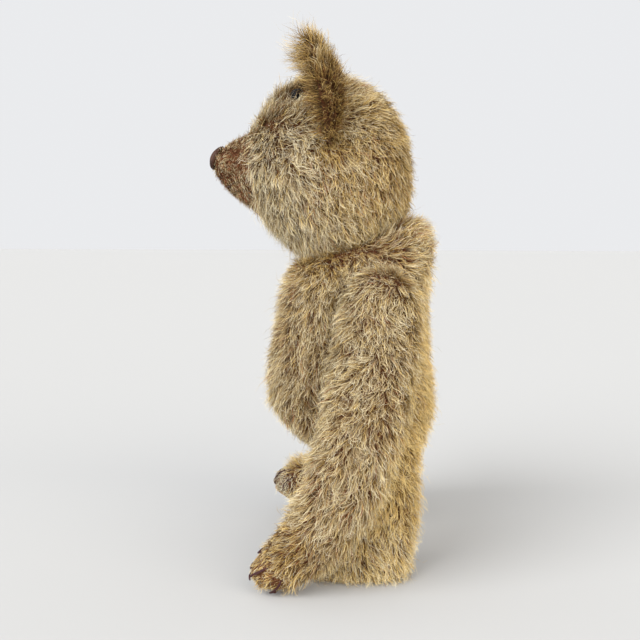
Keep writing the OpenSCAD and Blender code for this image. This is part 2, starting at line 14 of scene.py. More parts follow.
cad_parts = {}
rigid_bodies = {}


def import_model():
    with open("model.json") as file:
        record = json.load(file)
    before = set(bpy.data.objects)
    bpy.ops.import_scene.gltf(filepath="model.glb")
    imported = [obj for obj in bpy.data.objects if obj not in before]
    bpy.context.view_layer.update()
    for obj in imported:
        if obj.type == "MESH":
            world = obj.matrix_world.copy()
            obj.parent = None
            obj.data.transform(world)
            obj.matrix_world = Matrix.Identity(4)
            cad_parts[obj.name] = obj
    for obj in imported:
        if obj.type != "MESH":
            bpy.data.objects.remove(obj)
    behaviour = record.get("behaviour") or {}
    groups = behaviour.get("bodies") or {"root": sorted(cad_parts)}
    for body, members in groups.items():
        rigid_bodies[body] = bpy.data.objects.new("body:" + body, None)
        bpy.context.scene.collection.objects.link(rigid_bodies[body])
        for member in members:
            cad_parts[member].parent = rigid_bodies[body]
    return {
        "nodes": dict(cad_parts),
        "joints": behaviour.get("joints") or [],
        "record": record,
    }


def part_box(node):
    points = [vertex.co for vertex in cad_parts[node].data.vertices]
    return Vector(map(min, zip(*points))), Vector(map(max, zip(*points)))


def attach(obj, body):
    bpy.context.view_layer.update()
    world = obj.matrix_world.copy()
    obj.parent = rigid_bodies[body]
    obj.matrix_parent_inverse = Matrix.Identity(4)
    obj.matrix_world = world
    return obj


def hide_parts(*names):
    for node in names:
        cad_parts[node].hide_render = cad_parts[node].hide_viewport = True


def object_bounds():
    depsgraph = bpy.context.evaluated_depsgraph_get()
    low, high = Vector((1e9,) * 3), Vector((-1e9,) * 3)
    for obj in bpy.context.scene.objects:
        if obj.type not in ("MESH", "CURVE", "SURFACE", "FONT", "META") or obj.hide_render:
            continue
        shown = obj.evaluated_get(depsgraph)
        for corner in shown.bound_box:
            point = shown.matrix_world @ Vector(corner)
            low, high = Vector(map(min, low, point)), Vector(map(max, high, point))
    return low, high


MM = 0.001
UP = np.array([0.0, 0.0, 1.0])

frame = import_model()
CAD_BOX = [list(corner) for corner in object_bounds()]
NODES = frame["nodes"]
JOINTS = {j["child"]: j for j in frame["joints"]}
LIMBS = ("left_arm", "right_arm", "left_leg", "right_leg")

# ---------------------------------------------------------------- colour and material


def srgb(red, green, blue):
    """A colour as it looks on screen, 0 to 255, as linear RGBA."""
    parts = [c / 255 for c in (red, green, blue)]
    return [c / 12.92 if c < 0.04045 else ((c + 0.055) / 1.055) ** 2.4 for c in parts] + [1.0]


class Material:
    """A node material with a few short calls for the nodes that this scene uses."""

    def __init__(self, name, roughness, specular=0.3, metallic=0.0):
        self.data = bpy.data.materials.new(name)
        self.data.use_nodes = True
        self.tree = self.data.node_tree
        self.shader = self.tree.nodes["Principled BSDF"]
        self.shader.inputs["Roughness"].default_value = roughness
        self.shader.inputs["Specular IOR Level"].default_value = specular
        self.shader.inputs["Metallic"].default_value = metallic

    def node(self, kind, **values):
        made = self.tree.nodes.new(kind)
        for key, value in values.items():
            if hasattr(made, key):
                setattr(made, key, value)
            else:
                made.inputs[key.replace("_", " ")].default_value = value
        return made

    def link(self, source, target):
        self.tree.links.new(source, target)

    def place(self, scale=(1, 1, 1)):
        """The piece's own coordinates in metres, times scale."""
        mapping = self.node("ShaderNodeMapping")
        mapping.inputs["Scale"].default_value = scale
        self.link(self.node("ShaderNodeTexCoord").outputs["Object"], mapping.inputs["Vector"])
        return mapping.outputs["Vector"]

    def noise(self, size, detail=3.0, stretch=(1, 1, 1)):
        """Noise whose blobs are about size metres across."""
        made = self.node("ShaderNodeTexNoise", Scale=1 / size, Detail=detail)
        self.link(self.place(stretch), made.inputs["Vector"])
        return made.outputs["Fac"]

    def ramp(self, factor, stops):
        """stops is a list of (place, colour)."""
        made = self.node("ShaderNodeValToRGB")
        points = made.color_ramp.elements
        while len(points) < len(stops):
            points.new(0.5)
        for point, (where, colour) in zip(points, stops):
            point.position = where
            point.color = colour
        self.link(factor, made.inputs["Fac"])
        return made.outputs["Color"]

    def mix(self, factor, one, two):
        made = self.node("ShaderNodeMix", data_type="RGBA")
        for value, socket in ((factor, made.inputs[0]), (one, made.inputs[6]), (two, made.inputs[7])):
            if isinstance(value, bpy.types.NodeSocket):
                self.link(value, socket)
            else:
                socket.default_value = value
        return made.outputs[2]

    def colour(self, socket):
        self.link(socket, self.shader.inputs["Base Color"])

    def rough(self, socket, low, high):
        made = self.node("ShaderNodeMapRange", To_Min=low, To_Max=high)
        self.link(socket, made.inputs["Value"])
        self.link(made.outputs["Result"], self.shader.inputs["Roughness"])

    def bump(self, socket, height, strength=0.6):
        made = self.node("ShaderNodeBump", Distance=height, Strength=strength)
        self.link(socket, made.inputs["Height"])
        self.link(made.outputs["Normal"], self.shader.inputs["Normal"])


# The pile's colours, by tint: what a strand is at its root, in the middle, and at its tip. Each has a dark
# and a light end, and a strand lies anywhere between the two. Darker roots and paler tips are partly the
# fibre's own colour and partly painted: painted shade deep in the pile, and painted light at the tips where
# light would pass through the fibres.
TINTS = {
    "straw": [
        ((80, 54, 30), (124, 94, 58)),
        ((148, 122, 80), (210, 191, 145)),
        ((186, 163, 120), (250, 241, 210)),
    ],
    "gold": [
        ((84, 54, 16), (128, 92, 36)),
        ((158, 125, 64), (222, 190, 120)),
        ((194, 162, 92), (254, 232, 170)),
    ],
    "rust": [
        ((60, 24, 14), (92, 42, 24)),
        ((98, 46, 26), (150, 90, 54)),
        ((126, 72, 44), (196, 152, 108)),
    ],
    "ash": [
        ((72, 54, 38), (104, 86, 62)),
        ((126, 109, 82), (190, 176, 145)),
        ((166, 150, 120), (240, 231, 206)),
    ],
    "bark": [
        ((44, 28, 14), (70, 48, 24)),
        ((80, 54, 27), (132, 100, 56)),
        ((112, 82, 44), (190, 158, 102)),
    ],
}
TINT_NAMES = list(TINTS)
TINT_MARGIN = 0.04


def pile_material():
    """Its colour follows only the pile's UV: tint and shade across, root to tip upwards, with painted shade
    at the root and painted light at the tip.
    """
    made = Material("mohair_pile", roughness=0.62, specular=0.22)
    uv = made.node("ShaderNodeUVMap", uv_map="OFBake")
    split = made.node("ShaderNodeSeparateXYZ")
    made.link(uv.outputs["UV"], split.inputs["Vector"])
    share = 1 / len(TINTS)
    levels = []
    for level in range(3):
        stops = []
        for i, tint in enumerate(TINTS.values()):
            dark, light = tint[level]
            stops.append((share * (i + TINT_MARGIN / 2), srgb(*dark)))
            stops.append((share * (i + 1 - TINT_MARGIN / 2), srgb(*light)))
        levels.append(made.ramp(split.outputs["X"], stops))
    lower = made.node("ShaderNodeMapRange", From_Min=0.05, From_Max=0.5)
    upper = made.node("ShaderNodeMapRange", From_Min=0.5, From_Max=0.95)
    for part in (lower, upper):
        made.link(split.outputs["Y"], part.inputs["Value"])
    half = made.mix(lower.outputs["Result"], levels[0], levels[1])
    made.colour(made.mix(upper.outputs["Result"], half, levels[2]))
    return made.data


def backing_material():
    """The woven ground of the mohair cloth."""
    made = Material("mohair_backing", roughness=0.9, specular=0.1)
    blotch = made.noise(14 * MM, 4)
    fine = made.noise(0.9 * MM, 2)
    stains = [(0.3, srgb(52, 26, 16)), (0.55, srgb(78, 44, 28)), (0.75, srgb(104, 66, 42))]
    weave = [(0.3, srgb(44, 24, 16)), (0.7, srgb(118, 80, 52))]
    made.colour(made.mix(0.55, made.ramp(blotch, stains), made.ramp(fine, weave)))
    warp = made.node("ShaderNodeTexWave", Scale=1 / (7 * MM), Distortion=0.6)
    weft = made.node("ShaderNodeTexWave", Scale=1 / (7 * MM), Distortion=0.6, bands_direction="Z")
    place = made.place()
    for wave in (warp, weft):
        made.link(place, wave.inputs["Vector"])
    made.bump(made.mix(0.5, warp.outputs["Color"], weft.outputs["Color"]), 0.2 * MM)
    return made.data


def felt_material():
    """Worn wool felt: matted fibres, rubbed darker in places."""
    made = Material("worn_felt", roughness=0.95, specular=0.08)
    made.shader.inputs["Sheen Weight"].default_value = 0.3
    worn = made.noise(9 * MM, 5)
    fibre = made.noise(0.5 * MM, 4, stretch=(1, 2.2, 1.6))
    wear = [(0.3, srgb(112, 86, 58)), (0.5, srgb(158, 132, 96)), (0.72, srgb(184, 160, 122))]
    mat = [(0.3, srgb(108, 84, 58)), (0.7, srgb(196, 174, 138))]
    made.colour(made.mix(0.4, made.ramp(worn, wear), made.ramp(fibre, mat)))
    made.bump(fibre, 0.35 * MM)
    return made.data


def thread_material(name, dark, light):
    """Twisted cotton embroidery thread."""
    made = Material(name, roughness=0.55, specular=0.35)
    twist = made.noise(0.45 * MM, 3, stretch=(1, 1, 3))
    fade = made.noise(4 * MM, 3)
    shade = made.ramp(twist, [(0.3, srgb(*dark)), (0.72, srgb(*light))])
    faded = made.ramp(fade, [(0.45, srgb(0, 0, 0)), (0.75, srgb(255, 255, 255))])
    made.colour(made.mix(faded, shade, srgb(*light)))
    made.bump(twist, 0.12 * MM)
    return made.data


def button_material():
    """Glossy black boot button, a little scratched and dusty."""
    made = Material("boot_button", roughness=0.4, specular=0.1)
    dust = made.noise(1.6 * MM, 5)
    made.colour(made.ramp(dust, [(0.45, srgb(12, 10, 10)), (0.85, srgb(44, 36, 32))]))
    made.rough(dust, 0.35, 0.6)
    return made.data


def card_material():
    """Pressed grey-brown board."""
    made = Material("pressed_board", roughness=0.85, specular=0.15)
    fibre = made.noise(0.8 * MM, 5)
    made.colour(made.ramp(fibre, [(0.3, srgb(112, 84, 56)), (0.7, srgb(164, 132, 94))]))
    made.bump(fibre, 0.1 * MM)
    return made.data


def steel_material():
    """Dull steel with spots of rust."""
    made = Material("dull_steel", roughness=0.42, metallic=1.0)
    rust = made.noise(2 * MM, 6)
    stains = [(0.45, srgb(150, 148, 144)), (0.62, srgb(120, 100, 84)), (0.78, srgb(110, 60, 34))]
    made.colour(made.ramp(rust, stains))
    made.rough(rust, 0.3, 0.75)
    made.bump(rust, 0.03 * MM)
    return made.data


def shavings_material():
    """Fine wood shavings, packed hard."""
    made = Material("wood_wool", roughness=0.85, specular=0.15)
    curl = made.noise(1.5 * MM, 5, stretch=(1, 3, 1.4))
    made.colour(made.ramp(curl, [(0.3, srgb(150, 112, 66)), (0.7, srgb(214, 180, 124))]))
    made.bump(curl, 0.5 * MM)
    return made.data


def floor_material():
    """Plain and pale."""
    made = Material("pale_floor", roughness=0.8, specular=0.1)
    made.shader.inputs["Base Color"].default_value = srgb(189, 189, 188)
    return made.data


PILE = pile_material()
BACKING = backing_material()
FELT = felt_material()
NOSE_THREAD = thread_material("nose_thread", (30, 16, 10), (82, 50, 32))
CLAW_THREAD = thread_material("claw_thread", (34, 10, 12), (74, 30, 28))
CARD = card_material()
STEEL = steel_material()
MATERIALS = {
    "mohair": BACKING,
    "ear_mohair": BACKING,
    "felt": FELT,
    "wood_wool": shavings_material(),
    "card": CARD,
    "steel": STEEL,
    "boot_button": button_material(),
    "nose_thread": NOSE_THREAD,
    "claw_thread": CLAW_THREAD,
}

# ---------------------------------------------------------------- mesh helpers


def object_from(name, points, faces, material):
    mesh = bpy.data.meshes.new(name)
    mesh.from_pydata([tuple(p) for p in points], [], faces)
    mesh.materials.append(material)
    made = bpy.data.objects.new(name, mesh)
    bpy.context.scene.collection.objects.link(made)
    return made


def points_of(mesh):
    flat = np.empty(len(mesh.vertices) * 3)
    mesh.vertices.foreach_get("co", flat)
    return flat.reshape(-1, 3)


def move_points(mesh, points):
    mesh.vertices.foreach_set("co", points.astype(np.float32).ravel())
    mesh.update()


def normals_of(mesh):
    flat = np.empty(len(mesh.vertices) * 3)
    mesh.vertices.foreach_get("normal", flat)
    return flat.reshape(-1, 3)


def unit(vectors):
    return vectors / np.maximum(np.linalg.norm(vectors, axis=-1, keepdims=True), 1e-12)


def smooth_step(x, low, high):
    t = np.clip((x - low) / (high - low), 0, 1)
    return t * t * (3 - 2 * t)


def applied(obj):
    """Bakes an object's modifiers into its mesh."""
    evaluated = obj.evaluated_get(bpy.context.evaluated_depsgraph_get())
    mesh = bpy.data.meshes.new_from_object(evaluated)
    obj.modifiers.clear()
    obj.data = mesh
    return obj


def joined(name, members, material):
    """One new object from copies of CAD nodes."""
    points, faces, start = [], [], 0
    for node in members:
        mesh = NODES[node].data
        points.append(points_of(mesh))
        faces += [tuple(start + i for i in face.vertices) for face in mesh.polygons]
        start += len(mesh.vertices)
    return object_from(name, np.concatenate(points), faces, material)


def remeshed(obj, voxel, rounds):
    """Makes one smooth closed surface of an object's overlapping solids."""
    grid = obj.modifiers.new("grid", "REMESH")
    grid.mode = "VOXEL"
    grid.voxel_size = voxel
    grid.use_smooth_shade = True
    soft = obj.modifiers.new("soft", "SMOOTH")
    soft.factor = 0.5
    soft.iterations = rounds
    return applied(obj)


def tree_of(obj):
    """A search tree of an object's surface."""
    faces = [tuple(face.vertices) for face in obj.data.polygons]
    return BVHTree.FromPolygons(points_of(obj.data).tolist(), faces)


def distance_to(points, tree, reach=0.05):
    """How far each point is from a surface, or reach where it is farther than that."""
    found = [tree.find_nearest(Vector(p), reach)[3] for p in points]
    return np.array([reach if d is None else d for d in found])


def nearest(points, places):
    """How far each point is from the nearest of some places."""
    return np.min([np.linalg.norm(points - place, axis=1) for place in places], axis=0)


def middle(node):
    low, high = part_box(node)
    return (np.array(low) + np.array(high)) / 2


def from_joint(points, joint):
    """Each point's distance along a joint's axis from its middle, and out from the axis."""
    away = points - np.array(joint["pos_m"])
    axis = np.array(joint["axis"])
    along = away @ axis
    return along, np.linalg.norm(away - along[:, None] * axis, axis=1)


NOISE = np.random.default_rng(11).uniform(-1, 1, 4096)


def field(points, size, seed):
    """Smooth noise from -1 to 1 whose blobs are about size metres across."""
    q = points / size
    cell = np.floor(q).astype(np.int64)
    f = q - cell
    f = f * f * (3 - 2 * f)
    total = np.zeros(len(points))
    for corner in range(8):
        step = np.array([corner & 1, corner >> 1 & 1, corner >> 2 & 1])
        at = cell + step
        key = (at[:, 0] * 73856093) ^ (at[:, 1] * 19349663) ^ (at[:, 2] * 83492791) ^ (seed * 7919)
        weight = np.prod(np.where(step, f, 1 - f), axis=1)
        total += weight * NOISE[key & 4095]
    return total


def field3(points, size, seed):
    """Three noises at once, as vectors."""
    return np.stack([field(points, size, seed + k) for k in range(3)], axis=1)


# ---------------------------------------------------------------- stuffed skins


def seams_of(points, members, width):
    """1 where two of the body's cloth pieces meet, 0 away from their edges."""
    trees = [tree_of(NODES[node]) for node in members]
    near = np.sort(np.array([distance_to(points, t, 4 * width) for t in trees]), axis=0)
    return 1 - smooth_step(near[1] - near[0] * 0.2, width * 0.5, width * 1.6)


def seats_of(points, body):
    """1 on the flat seats of a body's joints, 0 away from them."""
    found = np.zeros(len(points))
    for joint in frame["joints"]:
        if body in (joint["parent"], joint["child"]):
            along, out = from_joint(points, joint)
            flat = 1 - smooth_step(np.abs(along), 2 * MM, 5 * MM)
            found = np.maximum(found, flat * (1 - smooth_step(out, 20 * MM, 27 * MM)))
    return found


PUFF_FRAMES = 14
PUFF_CAP = 1.6 * MM


def puffed(obj, held):
    """Swells a skin between its seams with a short cloth simulation, at most PUFF_CAP anywhere."""
    rest = points_of(obj.data)
    pins = obj.vertex_groups.new(name="held")
    for i in np.flatnonzero(held > 0.02):
        pins.add([int(i)], float(held[i]), "REPLACE")
    cloth = obj.modifiers.new("cloth", "CLOTH")
    settings = cloth.settings
    settings.quality = 4
    settings.mass = 0.2
    settings.tension_stiffness = settings.compression_stiffness = 25
    settings.bending_stiffness = 2
    settings.use_pressure = True
    settings.uniform_pressure_force = 4
    settings.effector_weights.gravity = 0
    settings.vertex_group_mass = "held"
    cloth.point_cache.frame_start = 1
    cloth.point_cache.frame_end = PUFF_FRAMES
    scene = bpy.context.scene
    for step in range(1, PUFF_FRAMES + 1):
        scene.frame_set(step)
    applied(obj)
    scene.frame_set(1)
    moved = points_of(obj.data) - rest
    length = np.linalg.norm(moved, axis=1, keepdims=True)
    capped = moved * np.minimum(1, PUFF_CAP / np.maximum(length, 1e-12)) * (1 - held[:, None])
    move_points(obj.data, rest + capped)
    obj.vertex_groups.clear()
    return obj


SKIN_GRID = 2.4 * MM
SEAM_WIDTH = 1.4 * MM
SEAM_DEPTH = 0.8 * MM
PAD_DEPTH = 0.7 * MM


def stuffed(name, body, cloth, stuffing, details=(), pad=None):
    """A stuffed skin in place of a body's cloth pieces and their stuffing. It keeps still under the details
    sewn on it, and lies a little lower under a felt pad."""
    panels = [*cloth, pad] if pad else cloth
    obj = joined(name, [*panels, stuffing], BACKING)
    remeshed(obj, SKIN_GRID, 5)
    points = points_of(obj.data)
    seams = seams_of(points, panels, SEAM_WIDTH)
    held = np.maximum(seams, seats_of(points, body))
    for node in details:
        near = distance_to(points, tree_of(NODES[node]))
        held = np.maximum(held, 1 - smooth_step(near, 2 * MM, 8 * MM))
    under_pad = np.zeros(len(points))
    if pad:
        beyond = np.min([distance_to(points, tree_of(NODES[node])) for node in cloth], axis=0)
        under_pad = smooth_step(beyond - distance_to(points, tree_of(NODES[pad])), 0, 1.5 * MM)
        held = np.maximum(held, under_pad)
    puffed(obj, held)
    obj.data.shade_smooth()
    sunk = np.maximum(seams * SEAM_DEPTH, under_pad * PAD_DEPTH)
    move_points(obj.data, points_of(obj.data) - normals_of(obj.data) * sunk[:, None])
    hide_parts(*cloth, stuffing)
    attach(obj, body)
    return obj


def paw_of(limb, piece):
    """The node name of a paw's or foot's piece on a limb."""
    return limb.replace("arm", "paw").replace("leg", "foot") + "_" + piece


HEAD_CLOTH = ["head_side_left", "head_side_right", "head_gusset"]
FACE = ["nose_stitching", "mouth_stitching", "eye_left", "eye_right"]
SKINS = {
    "torso": stuffed("torso_body", "torso", ["torso_skin_left", "torso_skin_right"], "torso_stuffing"),
    "head": stuffed("head_body", "head", HEAD_CLOTH, "head_stuffing", FACE),
}
for limb in LIMBS:
    panels = [f"{limb}_outer", f"{limb}_inner"]
    felt_pad = paw_of(limb, "pad") if limb.endswith("arm") else None
    claws = paw_of(limb, "claws")
    SKINS[limb] = stuffed(f"{limb}_body", limb, panels, f"{limb}_stuffing", [claws], felt_pad)


FELT_GRID = 0.7 * MM
FELT_SWELL = 0.15 * MM


def felt_piece(node, body):
    """A felt piece with soft edges in place of its CAD node."""
    obj = joined(node.replace("_pad", "_felt").replace("_sole", "_felt"), [node], FELT)
    remeshed(obj, FELT_GRID, 3)
    obj.data.shade_smooth()
    move_points(obj.data, points_of(obj.data) + normals_of(obj.data) * FELT_SWELL)
    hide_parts(node)
    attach(obj, body)


for limb in LIMBS:
    felt_piece(paw_of(limb, "pad" if limb.endswith("arm") else "sole"), limb)


def ear(side):
    """An ear's two panels as one thin cupped piece."""
    members = [f"ear_{side}_front", f"ear_{side}_back"]
    obj = joined(f"ear_{side}", members, BACKING)
    remeshed(obj, 0.8 * MM, 3)
    obj.data.shade_smooth()
    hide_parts(*members)
    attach(obj, "head")
    return obj


# ---------------------------------------------------------------- thread


def tube(path, radius, sides=6):
    """Points and faces of a round thread along path, thinner at its ends."""
    path = np.asarray(path)
    way = unit(np.gradient(path, axis=0))
    side = unit(np.cross(way, UP + 0.01))
    lift = np.cross(side, way)
    thin = np.full(len(path), radius)
    thin[[0, -1]] *= 0.4
    turns = np.arange(sides) * 2 * math.pi / sides
    rings = [p + r * (np.outer(np.cos(turns), a) + np.outer(np.sin(turns), b))
             for p, a, b, r in zip(path, side, lift, thin)]
    faces = []
    for i in range(len(path) - 1):
        for k in range(sides):
            n = (k + 1) % sides
            faces.append((i * sides + k, i * sides + n, (i + 1) * sides + n, (i + 1) * sides + k))
    faces.append(tuple(range(sides))[::-1])
    faces.append(tuple((len(path) - 1) * sides + k for k in range(sides)))
    return np.concatenate(rings), faces


def threads(name, paths, radius, material):
    """One object of many round threads."""
    points, faces, start = [], [], 0
    for path in paths:
        ring, quads = tube(path, radius)
        points.append(ring)
        faces += [tuple(start + i for i in face) for face in quads]
        start += len(ring)
    obj = object_from(name, np.concatenate(points), faces, material)
    obj.data.shade_smooth()
    return obj


def loose_parts(node):
    """For each separate solid of a CAD node, its points and each point's neighbours."""
    grid = bmesh.new()
    grid.from_mesh(NODES[node].data)
    bmesh.ops.remove_doubles(grid, verts=grid.verts, dist=0.001 * MM)
    grid.verts.index_update()
    seen, parts = set(), []
    for vert in grid.verts:
        if vert.index in seen:
            continue
        seen.add(vert.index)
        part, wait = [], [vert]
        while wait:
            at = wait.pop()
            part.append(at)
            for edge in at.link_edges:
                other = edge.other_vert(at)
                if other.index not in seen:
                    seen.add(other.index)
                    wait.append(other)
        number = {v.index: i for i, v in enumerate(part)}
        near = [[number[e.other_vert(v).index] for e in v.link_edges] for v in part]
        parts.append((np.array([v.co for v in part]), near))
    grid.free()
    return parts


def reach_from(start, points, near):
    """Distance along the surface from one point to every other."""
    reach = np.full(len(points), np.inf)
    reach[start] = 0
    wait = [(0.0, start)]
    while wait:
        d, at = heapq.heappop(wait)
        for other in near[at]:
            step = d + float(np.linalg.norm(points[other] - points[at]))
            if step < reach[other]:
                reach[other] = step
                heapq.heappush(wait, (step, other))
    return reach


def centre_line(points, near, count=9):
    """The middle line of a bent rod."""
    end = int(np.argmax(reach_from(0, points, near)))
    reach = reach_from(end, points, near)
    edges = np.linspace(0, reach.max() * 1.001, count + 1)
    picked = [points[(reach >= a) & (reach < b)] for a, b in zip(edges[:-1], edges[1:])]
    return np.array([p.mean(axis=0) for p in picked if len(p)])


def sewn(node, body, skin, lift, radius, strands, material):
    """Bundles of thread in place of a CAD node's round claws or mouth lines, bowed off the skin by lift."""
    tree = tree_of(skin)
    paths = []
    for points, near in loose_parts(node):
        line = centre_line(points, near)
        found = [tree.find_nearest(Vector(p)) for p in line]
        up = unit(np.array([hit[1] for hit in found]))
        on = np.array([hit[0] for hit in found])
        across = unit(np.cross(unit(np.gradient(line, axis=0)), up))
        rise = 0.5 * radius + lift * np.sin(np.linspace(0, 1, len(line)) * math.pi)
        for k in range(strands):
            off = (k - (strands - 1) / 2) * radius * 1.3
            paths.append(on + up * rise[:, None] + across * off)
    made = threads(f"{node}_threads", paths, radius, material)
    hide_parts(node)
    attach(made, body)


NOSE_THREAD_GAP = 0.85 * MM
NOSE_THREAD_RADIUS = 0.5 * MM


def satin_nose():
    """Threads side by side down the nose, over a padded ground."""
    ground = joined("nose_ground", ["nose_stitching"], NOSE_THREAD)
    remeshed(ground, 0.5 * MM, 3)
    ground.data.shade_smooth()
    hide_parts("nose_stitching")
    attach(ground, "head")
    tree = tree_of(NODES["nose_stitching"])
    low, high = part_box("nose_stitching")
    rng = np.random.default_rng(5)
    paths = []
    for x in np.arange(low.x + 0.6 * MM, high.x, NOSE_THREAD_GAP):
        start = high.z + rng.uniform(-0.2, 0.5) * MM
        spots = [tree.ray_cast(Vector((x, low.y - 0.02, z)), Vector((0, 1, 0)))[0]
                 for z in np.linspace(start, low.z, 16)]
        line = [np.array(p) - [0, 0.12 * MM, 0] for p in spots if p is not None]
        if len(line) > 3:
            paths.append(np.array(line) + rng.normal(0, 0.05 * MM, 3))
    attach(threads("nose_threads", paths, NOSE_THREAD_RADIUS, NOSE_THREAD), "head")


satin_nose()
sewn("mouth_stitching", "head", SKINS["head"], 0.6 * MM, 0.4 * MM, 2, NOSE_THREAD)
for limb in LIMBS:
    lift, radius = (2.4 * MM, 0.46 * MM) if limb.endswith("arm") else (1.2 * MM, 0.34 * MM)
    sewn(paw_of(limb, "claws"), limb, SKINS[limb], lift, radius, 2, CLAW_THREAD)

EARS = {side: ear(side) for side in ("left", "right")}

# ---------------------------------------------------------------- pile

STRAND_LEVELS = 4
STRAND_LIMIT = 38000  # strands in one piece
ROOT_DEPTH = 0.4 * MM

# The pile stays above the floor, and within this much of the CAD's box.
ROOM = [0.03 * (high - low) + 9 * MM for low, high in zip(*CAD_BOX)]
PILE_LOW = [CAD_BOX[0][0] - ROOM[0], CAD_BOX[0][1] - ROOM[1], 0.15 * MM]
PILE_HIGH = [side + room for side, room in zip(CAD_BOX[1], ROOM)]


def scatter(obj, per_mm2, rng):
    """Random points of a surface with its smooth normals."""
    mesh = obj.data
    mesh.calc_loop_triangles()
    corner = np.empty(len(mesh.loop_triangles) * 3, np.int64)
    mesh.loop_triangles.foreach_get("vertices", corner)
    corner = corner.reshape(-1, 3)
    p, n = points_of(mesh), normals_of(mesh)
    a, b, c = (p[corner[:, k]] for k in range(3))
    area = np.linalg.norm(np.cross(b - a, c - a), axis=1) / 2
    count = int(area.sum() * 1e6 * per_mm2)
    tri = rng.choice(len(area), count, p=area / area.sum())
    u, v = rng.random(count), rng.random(count)
    flip = u + v > 1
    u[flip], v[flip] = 1 - u[flip], 1 - v[flip]
    weights = np.stack([1 - u - v, u, v], axis=1)[:, :, None]
    at = corner[tri]
    return (p[at] * weights).sum(axis=1), unit((n[at] * weights).sum(axis=1))


def nearest_guides(points, guides):
    """For each point, the index of the guide nearest to it."""
    tree = KDTree(len(guides))
    for i, g in enumerate(guides):
        tree.insert(points[g], i)
    tree.balance()
    return guides[np.array([tree.find(p)[1] for p in points])]


def strand_paths(points, normals, flow, length, rise, rng):
    """Each strand leaves the skin steeply and bends over along flow."""
    count = len(points)
    tangent = unit(flow - (flow * normals).sum(1, keepdims=True) * normals)
    side = np.cross(normals, tangent)
    path = np.empty((count, STRAND_LEVELS, 3))
    path[:, 0] = points - normals * ROOT_DEPTH
    bend = rng.normal(0, 0.2, count)
    sway = rng.normal(0, 0.68, count)
    for k, (share, angle) in enumerate(((0.3, 64), (0.36, 38), (0.34, 16))):
        a = np.clip(math.radians(angle) * rise + bend, 0.03, 1.5)
        drift = sway * (-0.5, 0.5, 1.5)[k]
        along = unit(tangent * np.cos(drift)[:, None] + side * np.sin(drift)[:, None])
        step = along * np.cos(a)[:, None] + normals * np.sin(a)[:, None]
        path[:, k + 1] = path[:, k] + step * (length * share)[:, None]
    return path


def clumped(path, guides, pull, rng):
    """Draws strands towards their guides, more at the tips, so that they lie in tufts."""
    towards = path[guides] - path
    strength = pull * rng.uniform(0.55, 1.0, len(path))
    for k, share in enumerate((0, 0.3, 0.7, 1.0)):
        path[:, k] += towards[:, k] * (strength * share)[:, None]
    return path


def strand_mesh(name, path, normals, width, tone, rng):
    """Flat tapering ribbons that face outwards, more or less: two quads and a tip each."""
    count = len(path)
    roll = rng.normal(0, 0.65, count)[:, None]
    vertices = np.empty((count, 7, 3))
    for k, share in enumerate((1.0, 0.9, 0.62)):
        along = unit(path[:, k + 1] - path[:, k])
        first = unit(np.cross(along, normals))
        second = np.cross(along, first)
        across = (first * np.cos(roll) + second * np.sin(roll)) * (width * share / 2)[:, None]
        vertices[:, 2 * k] = path[:, k] - across
        vertices[:, 2 * k + 1] = path[:, k] + across
    vertices[:, 6] = path[:, 3]
    vertices = np.clip(vertices, PILE_LOW, PILE_HIGH)
    start = np.arange(count)[:, None] * 7
    loops = (start + np.array([0, 1, 3, 2, 2, 3, 5, 4, 4, 5, 6])).ravel()
    sizes = np.tile([4, 4, 3], count)
    mesh = bpy.data.meshes.new(name)
    mesh.vertices.add(count * 7)
    mesh.vertices.foreach_set("co", vertices.astype(np.float32).ravel())
    mesh.loops.add(len(loops))
    mesh.loops.foreach_set("vertex_index", loops.astype(np.int32))
    mesh.polygons.add(len(sizes))
    mesh.polygons.foreach_set("loop_start", (np.cumsum(sizes) - sizes).astype(np.int32))
    mesh.update(calc_edges=True)
    spread = 0.004 * np.array([-1, 1, 1, -1, -1, 1, 1, -1, -1, 1, 0])
    height = np.array([0, 0, 0.35, 0.35, 0.35, 0.35, 0.7, 0.7, 0.7, 0.7, 1.0])
    uv = np.empty((count, 11, 2))
    uv[:, :, 0] = tone[:, None] + spread
    uv[:, :, 1] = 0.02 + 0.96 * height
    mesh.uv_layers.new(name="OFBake").data.foreach_set("uv", uv.astype(np.float32).ravel())
    mesh.materials.append(PILE)
    mesh.shade_smooth()
    made = bpy.data.objects.new(name, mesh)
    bpy.context.scene.collection.objects.link(made)
    return made


def tone_of(tint, shade):
    """Where a strand's tint, and its shade from 0 to 1, lie across the pile material's UV."""
    return (tint + TINT_MARGIN + (1 - 2 * TINT_MARGIN) * np.clip(shade, 0, 1)) / len(TINTS)


def pick_tints(weights, rng):
    """One tint for each strand. weights is a dict of arrays, and straw takes the rest."""
    tint = np.zeros(len(next(iter(weights.values()))), int)
    throw = rng.random(len(tint))
    edge = np.zeros(len(tint))
    for name, share in weights.items():
        tint[(throw >= edge) & (throw < edge + share)] = TINT_NAMES.index(name)
        edge = edge + share
    return tint


# Two layers of strands, as factors on the style's length and width and steps in its shade. A few are strays.
# The under layer's darker step is painted shade deep among the strands. The over layer's paler step is partly
# the fibre's own tone and partly painted highlight.
UNDER = {"length": 0.66, "width": 1.1, "shade": -0.6, "stray": 0.2}
OVER = {"length": 1.25, "width": 0.88, "shade": 0.4, "stray": 0.34}
OVER_SHARE = 0.4
STRAY_SHARE = 0.012
STRANDS_IN_TUFT = 14


